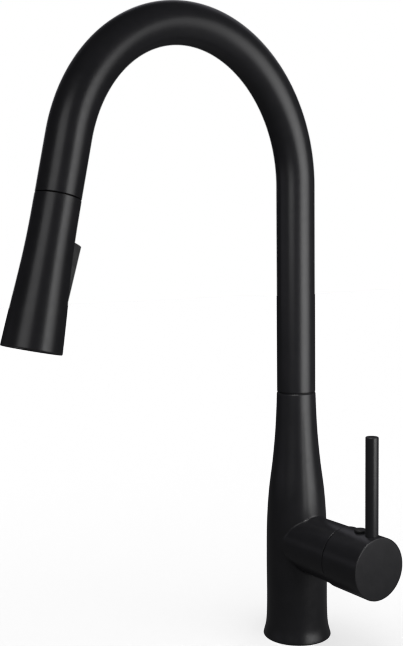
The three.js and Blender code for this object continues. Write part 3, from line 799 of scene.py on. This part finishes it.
show_all(COLUMN, base_seal)
show("mounting_shank", mounting_shank(), COLUMN, sharp=60)
show_all(COLUMN, rubber_washer, clamp_washer)
show("mounting_nut", hex_nut(44, SHANK_R + GAP, CLAMP_Z - 16, CLAMP_Z - 5.6), COLUMN)

# ---- Swivel and spout ---------------------------------------------------------------------------

SPIGOT_R = 10.2
SPIGOT_BORE_R = 7.6
BUSH_R = SPIGOT_R + GAP
BUSH_OUTER_R = SWIVEL_BORE_R - GAP
GROOVE_R = 9.2
GROOVES = [(132.3, 134.1), (150, 152.4), (160, 162.4)]


def upper_swivel_bush():
    """A sleeve in the neck, with the flange that shows as a thin line under the spout."""
    foot, under, top = 172, NECK_Z + 0.2, NECK_Z + 0.7
    flange_r = 13.8
    return turned([
        (BUSH_R, foot, 0.2), (BUSH_OUTER_R, foot, 0.2), (BUSH_OUTER_R, under),
        (flange_r, under, 0.15), (flange_r, top, 0.15), (BUSH_R, top, 0.2),
    ])


def spout_spigot():
    foot, collar_z, top = 131, NECK_Z + NECK_JOINT + 0.2, 214
    grooves = []
    for low, high in GROOVES:
        grooves += [(SPIGOT_R, low), (GROOVE_R, low, 0.2), (GROOVE_R, high, 0.2), (SPIGOT_R, high)]
    return turned([
        (SPIGOT_BORE_R, foot, 0.4), (SPIGOT_R, foot, 0.5), *grooves, (SPIGOT_R, collar_z),
        (TUBE_FIT_R, collar_z, 0.3), (TUBE_FIT_R, top, 0.6), (SPIGOT_BORE_R, top, 0.4),
    ])


def spout_retaining_ring():
    """A round-ended open spring ring of flat section."""
    low, high = GROOVES[0][0] + GAP, GROOVES[0][1] - GAP
    inner, outer = GROOVE_R + GAP, 12.2
    opening = math.radians(14)
    steps = 90
    angles = [opening + (TAU - 2 * opening) * k / steps for k in range(steps + 1)]
    outline = [(outer * math.cos(a), outer * math.sin(a)) for a in angles]
    outline += [(inner * math.cos(a), inner * math.sin(a)) for a in reversed(angles)]
    return eased(prism(outline, low, high), 0.25)


def spout_stations(first, last, straight, arch):
    """Lengths along the spout's centreline, apart by less where it bends."""
    bend_end = BEND_Z + ARCH
    up, down = evenly(first, BEND_Z, straight), evenly(bend_end, last, straight)
    return [*up, *evenly(BEND_Z, bend_end, arch), *down, last]


def spout_tube():
    foot, end = NECK_Z + NECK_JOINT, SPOUT_END
    inner = TUBE_R - TUBE_WALL
    lip = 0.4
    between = spout_stations(foot + 1, end - 1, 14, 120)
    return turned([
        (inner, foot, lip), (TUBE_R, foot, lip), *((TUBE_R, s) for s in between),
        (TUBE_R, end, lip), (inner, end, lip), *((inner, s) for s in reversed(between)),
    ], around=128, line=spout_line)


def resting_hose():
    """The braided hose up to the part that is drawn out."""
    stations = [s for s in spout_stations(HOSE_FOOT_Z, SPOUT_END, 60, 150) if s < STILL - 1]
    wall = [(HOSE_R, s) for s in stations[1:]]
    outline = [(0, HOSE_FOOT_Z), *wall, (HOSE_R, STILL), (0, STILL)]
    return turned(outline, around=48, line=spout_line)


def drawn_hose():
    """The hose's end, the length that the spray head draws out, made in close rows."""
    rows = 70
    crimped_r, inside_z = HOSE_R - 0.1, CRIMPED + 12
    outline = [(0, STILL), *((HOSE_R, STILL + DRAWN * k / rows) for k in range(rows + 1))]
    outline += [(crimped_r, CRIMPED + 1), (crimped_r, inside_z), (0, inside_z)]
    return turned(outline, around=48, line=spout_line)


def map_round(mesh):
    """Gives the hose's mesh, still in millimetres, a map whose U is the turn round the hose."""
    turns = []
    for spot in (vert.co for vert in mesh.vertices):
        out = Vector((spot.y + BEND_R, spot.z - BEND_Z))
        if out.y < 0 and spot.y > -BEND_R:
            side = spot.y
        elif out.y < 0 or math.atan2(out.y, out.x) > BEND_TURN:
            centre, _, up = spout_line(SPOUT_END)
            side = (spot - centre).dot(up)
        else:
            side = out.length - BEND_R
        turns.append(math.atan2(side, spot.x) / TAU)
    layer = mesh.uv_layers.new(name="round")
    for face in mesh.polygons:
        values = [turns[mesh.loops[i].vertex_index] for i in face.loop_indices]
        wraps = max(values) - min(values) > 0.5
        for i, value in zip(face.loop_indices, values):
            layer.data[i].uv = (value + 1 if wraps and value < 0 else value, 0)


def show_hose():
    place = Matrix.Scale(MM, 4) @ SPOUT
    for name, body in (("spray_hose_fine", resting_hose()), ("spray_hose_drawn", drawn_hose())):
        mesh = to_mesh(body, name)
        map_round(mesh)
        mesh.transform(place)
        mesh.shade_smooth()
        mesh.materials.append(FINISHES["hose_braid"])
        hose = add_object(name, mesh)
        if name == "spray_hose_drawn":
            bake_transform(hose)
        else:
            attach(hose, "spout")
        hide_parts("spray_hose")


def pressed(radius, depth, heights):
    """The outline's points for rings pressed into a sleeve."""
    points = []
    for height in heights:
        for away, inward in ((-0.9, 0), (-0.4, depth), (0.4, depth), (0.9, 0)):
            points.append((radius - inward, height + away))
    return points


def hose_tail_fitting():
    """A crimped sleeve with rings pressed into it, over a nipple with a hexagon."""
    foot, top = TAIL_NUT_TOP_Z - 2, -58
    hose_r, hose_z = HOSE_R + 0.1, HOSE_FOOT_Z + 0.1
    sleeve = turned([
        (0, foot), (TAIL_SLEEVE_R, foot), *pressed(TAIL_SLEEVE_R, 0.35, (-74, -70, -66, -62)),
        (TAIL_SLEEVE_R, top, 0.5), (hose_r, top, 0.3), (hose_r, hose_z), (0, hose_z),
    ], around=64)
    nut = hex_nut(TAIL_NUT_FLATS, HOSE_BORE_R, HOSE_TAIL_Z, TAIL_NUT_TOP_Z)
    bore = rod(HOSE_BORE_R, HOSE_TAIL_Z - 1, -70, around=48)
    return worked(worked(sleeve, nut, how="UNION"), bore)


show_all(COLUMN, upper_swivel_bush)
show("lower_swivel_bush", ring(BUSH_R, BUSH_OUTER_R, 137, 146, 0.2), COLUMN)
show_all(SPOUT, spout_tube, spout_spigot)
for number, (low, high) in enumerate(GROOVES[1:], 1):
    show(f"spout_o_ring_{number}", torus(10.5, 1.6, (low + high) / 2), SPOUT)
show_all(SPOUT, spout_retaining_ring)
show_hose()
show_all(SPOUT, hose_tail_fitting)

# ---- Docking, hose end and swivel nut (heights above the spout's end) ---------------------------


def dock_collar():
    """A guide whose mouth opens towards the head."""
    return turned([
        (10.9, 0.8, 0.2), (TUBE_FIT_R, 0.8, 0.2), (TUBE_FIT_R, 15, 0.3), (9.8, 15, 0.3), (9.8, 4),
    ])


def hose_ferrule():
    """The crimped sleeve at the hose's end, with the barbed stem that turns in the swivel nut."""
    crimps = pressed(7, 0.3, (21, 24.5, 28, 31))
    return turned([
        (3.2, 7, 0.3), (6.9, 7, 0.3), (6.9, 8.3, 0.3), (4.5, 8.3), (4.5, 15.2), (7, 15.2, 0.4),
        *crimps, (7, FERRULE_TOP, 0.5), (HOSE_R, FERRULE_TOP, 0.2), (HOSE_R, 17), (3.2, 17),
    ])


def hose_swivel_nut():
    """The nut that holds the hose on the head's neck, with a tapered nose."""
    nut = turned([
        (8, 0.8), (9.4, 0.8, 0.3), (9.4, 8, 0.5), (8.2, 14.9, 0.4), (4.8, 14.9, 0.3), (4.8, 8.6),
        (8, 8.6),
    ])
    flats = []
    for k in range(6):
        side = block((9.05, 12), (-6, 6), (0, 7))
        flats.append(placed(side, turn=("Z", TAU * k / 6)))
    return worked(nut, *flats)


show_all(END, dock_collar)
show("dock_magnet", ring(7.9, TUBE_FIT_R, 16.5, 22, 0.4), END)
show_all(END, hose_ferrule, hose_swivel_nut)
show("dock_keeper", ring(7.3, 8.2, 15.2, 16.2, 0.2), END)
show("hose_washer", ring(3.4, 7.2, 5.3, 6.7, 0.3), END)

# ---- Spray head ---------------------------------------------------------------------------------


def head_shell():
    """The flared shell, with the rocker's window in its back."""
    outer = [(radius, -drop) for radius, drop in smooth_outline(HEAD_OUTLINE, 60)]
    inner = [(radius - HEAD_WALL, height) for radius, height in outer[3:-2:3]]
    foot_r, foot_z = outer[-1]
    outline = [
        (outer[0][0], outer[0][1], 0.35), *outer[2:-1], (foot_r, foot_z, 0.5),
        (foot_r - HEAD_WALL + 0.2, foot_z, 0.4), *reversed(inner), (TUBE_R - HEAD_WALL, -2.6),
        (INLET_R, -2.6), (INLET_R, outer[0][1], 0.2),
    ]
    top = -(ROCKER_PIN_DROP - ROCKER_END_R) + 0.25
    half = ROCKER_WIDTH / 2 + 0.4
    window = block((-half, half), (8, 24), (-ROCKER_FOOT_DROP - 0.3, top))
    uprights = [e for e in window.edges if abs(e.verts[0].co.y - e.verts[1].co.y) > 1]
    bmesh.ops.bevel(window, geom=uprights, offset=0.7, segments=4, profile=0.5, affect="EDGES")
    return worked(turned(outline, around=144), window)


def rocker_side(fall):
    """The button's section as (y, z), at a place across it where its outer face has fallen."""
    inner_y, foot_z, steps = 12.5, -ROCKER_FOOT_DROP, 16
    upper = ROCKER_TOP_Y - fall

    def on_end(y):
        return y, math.sqrt(ROCKER_END_R ** 2 - (y - ROCKER_PIN_Y) ** 2) - ROCKER_PIN_DROP

    rise = evenly(foot_z, on_end(upper)[1], steps)
    face = zip(evenly(ROCKER_FOOT_Y - fall, upper, steps), rise)
    end = [on_end(y) for y in [*evenly(upper, inner_y, 6), inner_y]]
    return [*face, *end, (inner_y, foot_z + 2), (13.6, foot_z)]


def on_pin(solid):
    """An upright solid laid along the rocker's pin."""
    return placed(solid, y=ROCKER_PIN_Y, z=-ROCKER_PIN_DROP, turn=ALONG_X)


def rocker_button():
    """The crowned button, with its boss for the pin and the lug that shifts the diverter."""
    plate = bmesh.new()
    half = ROCKER_WIDTH / 2
    columns = 20
    rings = []
    for i in range(columns + 1):
        x = half * (2 * i / columns - 1)
        fall = ROCKER_CROWN_R - math.sqrt(ROCKER_CROWN_R ** 2 - x ** 2)
        rings.append([plate.verts.new((x, y, z)) for y, z in rocker_side(fall)])
    for one, following in zip(rings, rings[1:]):
        bridge(plate, one, following)
    plate.faces.new(rings[0])
    plate.faces.new(rings[-1])
    bmesh.ops.recalc_face_normals(plate, faces=plate.faces)
    plate = eased(plate, 0.45, sharp=40)
    boss_half, pin_z = 4.6, -ROCKER_PIN_DROP
    boss = rod(2, -boss_half, boss_half, 0.2, around=32)
    web = block((-boss_half, boss_half), (ROCKER_PIN_Y, 13), (pin_z - 1.9, pin_z + 1.9))
    lug = block((-2.2, 2.2), (4.9, ROCKER_PIN_Y), (pin_z - 0.9, pin_z + 0.9))
    button = worked(plate, on_pin(boss), web, lug, how="UNION")
    return worked(button, on_pin(rod(PIN_R, -9, 9, around=24)))


def nozzle_spots():
    places = [(radius, TAU * k / count) for radius, count in NOZZLE_ROWS for k in range(count)]
    return [{"x": radius * math.cos(a), "y": radius * math.sin(a)} for radius, a in places]


def spray_face():
    """The face plate: a ring with a hole for each nozzle, a raised rim and a dished middle."""
    plate = turned([
        (6.8, -91.4, 0.3), (8.2, -91.4), (8.6, -91.1), (15.2, -91.1), (15.5, -91.4),
        (16, -91.4, 0.25), (16, -87.9, 0.2), (6.8, -87.9, 0.2),
    ], around=144)
    holes = gathered(placed(rod(1.25, -93, -87, around=24), **spot) for spot in nozzle_spots())
    return worked(plate, holes)


def nozzle_mat():
    """The soft mat under the face plate, whose tapered nozzles stand through it."""
    mat = ring(8.3, 15.4, -87.6, -86.4, 0.2)
    nozzles = []
    for spot in nozzle_spots():
        nozzle = turned([
            (0, -86.6), (1.1, -86.6), (1.0, -89), (0.75, -92, 0.2), (0.38, -92), (0.38, -90.5),
            (0, -90.3),
        ], around=24)
        nozzles.append(placed(nozzle, **spot))
    return worked(mat, gathered(nozzles), how="UNION")


def aerator():
    """The insert in the face's middle: a slotted collar round a honeycomb."""
    collar = turned([
        (5, -91.2, 0.25), (6.5, -91.2, 0.3), (6.5, -79, 0.3), (5, -79, 0.3),
    ])
    slots = [
        placed(block((-0.8, 0.8), (4, 8), (-92, -90.4)), turn=("Z", TAU * k / 4 + TAU / 8))
        for k in range(4)
    ]
    comb = rod(5.2, -88.8, -87.4)
    pitch = 1.15
    cells = []
    for row in range(-4, 5):
        for column in range(-4, 5):
            x = pitch * (column + (row % 2) / 2)
            y = pitch * row * math.sqrt(3) / 2
            if math.hypot(x, y) < 4.2:
                cells.append(placed(rod(0.5, -90, -86, around=6), x=x, y=y, turn=("Z", TAU / 12)))
    return worked(worked(collar, comb, how="UNION"), gathered([*slots, *cells]))


def spray_chamber():
    return turned([
        (4.5, -66, 0.2), (14.2, -66, 0.4), (15.3, -86, 0.2), (13.9, -86), (12.9, -69), (8, -69),
        (8, -78), (6.8, -78), (6.8, -69), (4.5, -69),
    ])


def check_valve():
    return turned([
        (1.4, -8, 0.2), (3.9, -8, 0.3), (3.9, 2.5, 0.3), (2.9, 2.5, 0.2), (2.9, -5), (1.4, -6),
    ])


def rocker_pin():
    return on_pin(rod(1, -6.6, 6.6, 0.25, around=32))


SPOOL_Y = 3
SPOOL_SEALS = (-38.6, -53.4)
# Middle, half of the width and radius at the floor, from the lowest
SPOOL_GROOVES = [
    (SPOOL_SEALS[1], 0.75, 2.1), (-ROCKER_PIN_DROP, 1.3, 1.5), (SPOOL_SEALS[0], 0.75, 2.1),
]


def diverter_spool():
    """A spool with a groove for each seal, and one in its middle for the rocker's lug."""
    radius, low_end, high_end = 3, -55.5, -36.5
    grooves = []
    for middle, half, floor in SPOOL_GROOVES:
        low, high = middle - half, middle + half
        grooves += [(radius, low), (floor, low), (floor, high), (radius, high)]
    return placed(turned([
        (0, low_end), (radius, low_end, 0.4), *grooves, (radius, high_end, 0.4), (0, high_end),
    ], around=48), y=SPOOL_Y)


show_all(END, head_shell)
show("rocker_button", rocker_button(), END, sharp=40)
show_all(
    END, rocker_pin, spray_face, nozzle_mat, aerator, spray_chamber, check_valve, diverter_spool,
)
for number, height in enumerate(SPOOL_SEALS, 1):
    show(f"spool_o_ring_{number}", placed(torus(2.75, 0.8, height), y=SPOOL_Y), END)

# ---- Cartridge and handle (heights along the branch) --------------------------------------------


def cartridge_nut():
    """The ring nut over the cartridge, with four notches for its spanner."""
    nut = turned([
        (14.9, 48.8, 0.3), (18.2, 48.8, 0.3), (18.2, 53.2, 0.3), (16.6, 53.2), (16.6, 55.4, 0.3),
        (14.9, 55.4, 0.3),
    ])
    notches = [
        placed(block((-1.6, 1.6), (14, 18), (54.1, 57)), turn=("Z", TAU * k / 4)) for k in range(4)
    ]
    return worked(nut, *notches)


def dome_ring():
    """Part of a ball about the pivot, which covers the cartridge however far the hub tilts."""
    wall, low, high, steps = 1.2, 4.2, 10, 14

    def arc(radius, start, end):
        for height in [*evenly(start, end, steps), end]:
            yield math.sqrt(radius ** 2 - height ** 2), PIVOT + height

    return turned([*arc(DOME_R, low, high), *arc(DOME_R - wall, high - 0.5, low)])


def hub():
    """The handle's hub: a skirt over the branch, a solid front, and sockets for stem and lever."""
    edge = 0.55
    outside = turned([
        (0, HUB_FLOOR), (HUB_SKIRT_R - 0.6, HUB_FLOOR), (HUB_SKIRT_R, HUB_FLOOR - 0.6),
        (HUB_SKIRT_R, HUB_BACK), (HUB_R, HUB_BACK, 0.4), *((HUB_R, 56 + 4 * k) for k in range(8)),
        (HUB_R, HUB_FRONT, edge), *((18 - 3 * k, HUB_FRONT) for k in range(6)), (0, HUB_FRONT),
    ], around=160)
    half = STEM_HALF + GAP
    return worked(
        outside,
        block((-half, half), (-half, half), (HUB_FLOOR - 1, 80.3)),
        placed(rod(2.8, 0, HUB_R + 1, around=48), z=SCREW_X, turn=ALONG_Y),
        placed(rod(3.5, 15.4, HUB_R + 1, around=64), z=SCREW_X, turn=ALONG_Y),
        placed(rod(LEVER_R + GAP, 9.5, HUB_R + 1, around=64), z=LEVER_X, turn=ALONG_Y),
    )


def lever_rod():
    low, high = 9.8, LEVER_TOP_Z - BRANCH_Z
    lever = turned([
        (0, low), (LEVER_R, low, 0.5), *((LEVER_R, 20 + 10 * k) for k in range(7)),
        (LEVER_R, high, 0.45), (0, high),
    ], around=72)
    return placed(lever, z=LEVER_X, turn=ALONG_Y)


def index_plug():
    """The cap over the set screw, whose low, slightly domed head stands on the hub."""
    seat, top = HUB_R + GAP, HUB_R + 2
    plug = turned([
        (0, 15.7), (3.2, 15.7, 0.3), (3.2, seat), (4.3, seat, 0.15), (4.3, top - 0.2, 0.75),
        (1.6, top - 0.05), (0, top),
    ], around=64)
    return placed(plug, z=SCREW_X, turn=ALONG_Y)


def set_screw():
    screw = rod(2.5, STEM_HALF + GAP, 12.5, 0.4, around=48)
    socket = rod(1.4, 10.2, 14.2, around=6)
    return placed(worked(screw, socket), z=SCREW_X, turn=ALONG_Y)


def pivot_pin():
    return placed(rod(1.5, -11.6, 11.6, 0.3, around=32), z=PIVOT, turn=ALONG_X)


show_all(BRANCH, cartridge_nut, dome_ring)
for number, (x, y) in enumerate(PORTS, 1):
    show(f"cartridge_seal_{number}", placed(ring(3.1, 4.4, 22.2, 23.6, 0.4, 40), x=x, y=y), BRANCH)
show_all(BRANCH, pivot_pin, hub, lever_rod, index_plug, set_screw)

# The CAD nodes that stay get the finish of their slot.
for name, node in frame["nodes"].items():
    node.data.materials.clear()
    node.data.materials.append(FINISHES[SLOTS[name]])

# ---- Camera, floor and light --------------------------------------------------------------------

CAMERA_AZIMUTH = math.radians(51.49)
CAMERA_DISTANCE = 741.93
CAMERA_HEIGHT = 293.32
CAMERA_YAW = math.radians(-5.40)
CAMERA_PITCH = math.radians(-4.42)
CAMERA_ROLL = math.radians(-0.63)
CAMERA_LENS = 55.81  # with the usual 36 mm sensor along the long side


def turned_pair(first, second, angle):
    """Two directions turned in their own plane, the first towards the second."""
    return (
        first * math.cos(angle) + second * math.sin(angle),
        second * math.cos(angle) - first * math.sin(angle),
    )


def add_camera():
    back = Vector((math.sin(CAMERA_AZIMUTH), -math.cos(CAMERA_AZIMUTH), 0))
    right = Vector((math.cos(CAMERA_AZIMUTH), math.sin(CAMERA_AZIMUTH), 0))
    up = Vector((0, 0, 1))
    forward, right = turned_pair(-back, right, CAMERA_YAW)
    forward, up = turned_pair(forward, up, CAMERA_PITCH)
    right, up = turned_pair(right, up, CAMERA_ROLL)
    camera = add_object("camera", bpy.data.cameras.new("camera"))
    camera.data.lens = CAMERA_LENS
    place = Matrix((right, up, -forward)).transposed().to_4x4()
    place.translation = (back * CAMERA_DISTANCE + Vector((0, 0, CAMERA_HEIGHT))) * MM
    camera.matrix_world = place
    scene.camera = camera


def add_floor():
    floor_mesh = bpy.data.meshes.new("floor")
    solid = bmesh.new()
    bmesh.ops.create_grid(solid, x_segments=8, y_segments=8, size=4)
    solid.to_mesh(floor_mesh)
    solid.free()
    material, tree, shader, where = surface("floor", Roughness=0.9, Specular_IOR_Level=0.1)
    slow = spread(tree, noise(tree, where, 6), 0, 1)
    colour = tinted(tree, slow, (0.9, 0.9, 0.9), (0.93, 0.93, 0.93))
    tree.links.new(colour, shader.inputs["Base Color"])
    floor_mesh.materials.append(material)
    floor = add_object("floor", floor_mesh)
    floor.is_shadow_catcher = True


def only(name, state):
    """A collection that keeps a light on the floor, or off it."""
    found = bpy.data.collections.get(name) or bpy.data.collections.new(name)
    if not found.objects:
        found.objects.link(bpy.data.objects["floor"])
        found.collection_objects[0].light_linking.link_state = state
    return found


def soft_box(name, place, aim, width, height, power, beam=180, color=(1, 1, 1)):
    """A soft box that faces a point, in metres and watts. The camera doesn't see it."""
    lamp = bpy.data.lights.new(name, "AREA")
    lamp.shape = "RECTANGLE"
    lamp.size, lamp.size_y = width, height
    lamp.energy = power
    lamp.spread = math.radians(beam)
    lamp.color = color
    light = add_object(name, lamp)
    light.location = place
    light.rotation_euler = (Vector(place) - Vector(aim)).to_track_quat("Z", "Y").to_euler()
    light.visible_camera = False
    return light.light_linking


def add_light(name, azimuth, distance, low, high, width, power, aim=(0, 0), **looks):
    """An upright soft box between two heights, off the floor. Its azimuth is as the camera's."""
    a = math.radians(azimuth)
    middle = (low + high) / 2
    place = (math.sin(a) * distance, -math.cos(a) * distance, middle)
    linking = soft_box(name, place, (*aim, middle), width, high - low, power, **looks)
    linking.receiver_collection = only("off_floor", "EXCLUDE")


def add_floor_light(name, place, size, power, casts_shadow):
    """A soft box that hangs over the floor and lights nothing else."""
    linking = soft_box(name, place, (*place[:2], 0), size, size, power)
    linking.receiver_collection = only("on_floor", "INCLUDE")
    if not casts_shadow:
        linking.blocker_collection = only("on_floor", "INCLUDE")


def add_world():
    """White behind the faucet, and dim all round it, so that its edges stay dark."""
    world = bpy.data.worlds.new("studio")
    world.use_nodes = True
    tree = world.node_tree
    tree.nodes.clear()
    seen = add_node(tree, "ShaderNodeBackground", Color=(1, 1, 1, 1), Strength=1.0)
    around = add_node(tree, "ShaderNodeBackground", Color=(0.9, 0.93, 1, 1), Strength=0.025)
    path = tree.nodes.new("ShaderNodeLightPath")
    mix = tree.nodes.new("ShaderNodeMixShader")
    output = tree.nodes.new("ShaderNodeOutputWorld")
    tree.links.new(path.outputs["Is Camera Ray"], mix.inputs[0])
    tree.links.new(around.outputs[0], mix.inputs[1])
    tree.links.new(seen.outputs[0], mix.inputs[2])
    tree.links.new(mix.outputs[0], output.inputs[0])
    scene.world = world


add_camera()
add_floor()
add_world()
DIM_BLUE = (0.92, 0.9, 1)
add_light("key_right", 111, 0.5, 0.02, 0.62, 0.54, 0.84, aim=(-0.02, 0.055), beam=90)
add_light("key_left", 26, 0.75, 0.25, 0.85, 0.4, 0.95)
add_light("fill_left", -25, 2.0, 0.12, 0.6, 1.6, 0.7, color=DIM_BLUE)
add_light("fill_front", 42, 1.6, 0.25, 1.2, 2.4, 0.3, color=DIM_BLUE)
add_light("rim_left", -100, 0.9, 0.4, 1.3, 1.1, 0.32, color=DIM_BLUE)
add_light("fill_back", 225, 1.3, 0.9, 1.9, 1.6, 1.6, color=DIM_BLUE)
over_handle = soft_box("over_handle", (0.07, -0.07, 0.38), (0.055, 0, 0.09), 0.1, 0.1, 0.04, 60)
over_handle.receiver_collection = only("off_floor", "EXCLUDE")
add_floor_light("floor_front", (0.3, -0.2, 1.4), 1.8, 1.0, True)
add_floor_light("floor_right", (0.45, 0.25, 0.5), 0.3, 0.41, False)
scene.view_settings.view_transform = "Standard"
scene.view_settings.look = "None"
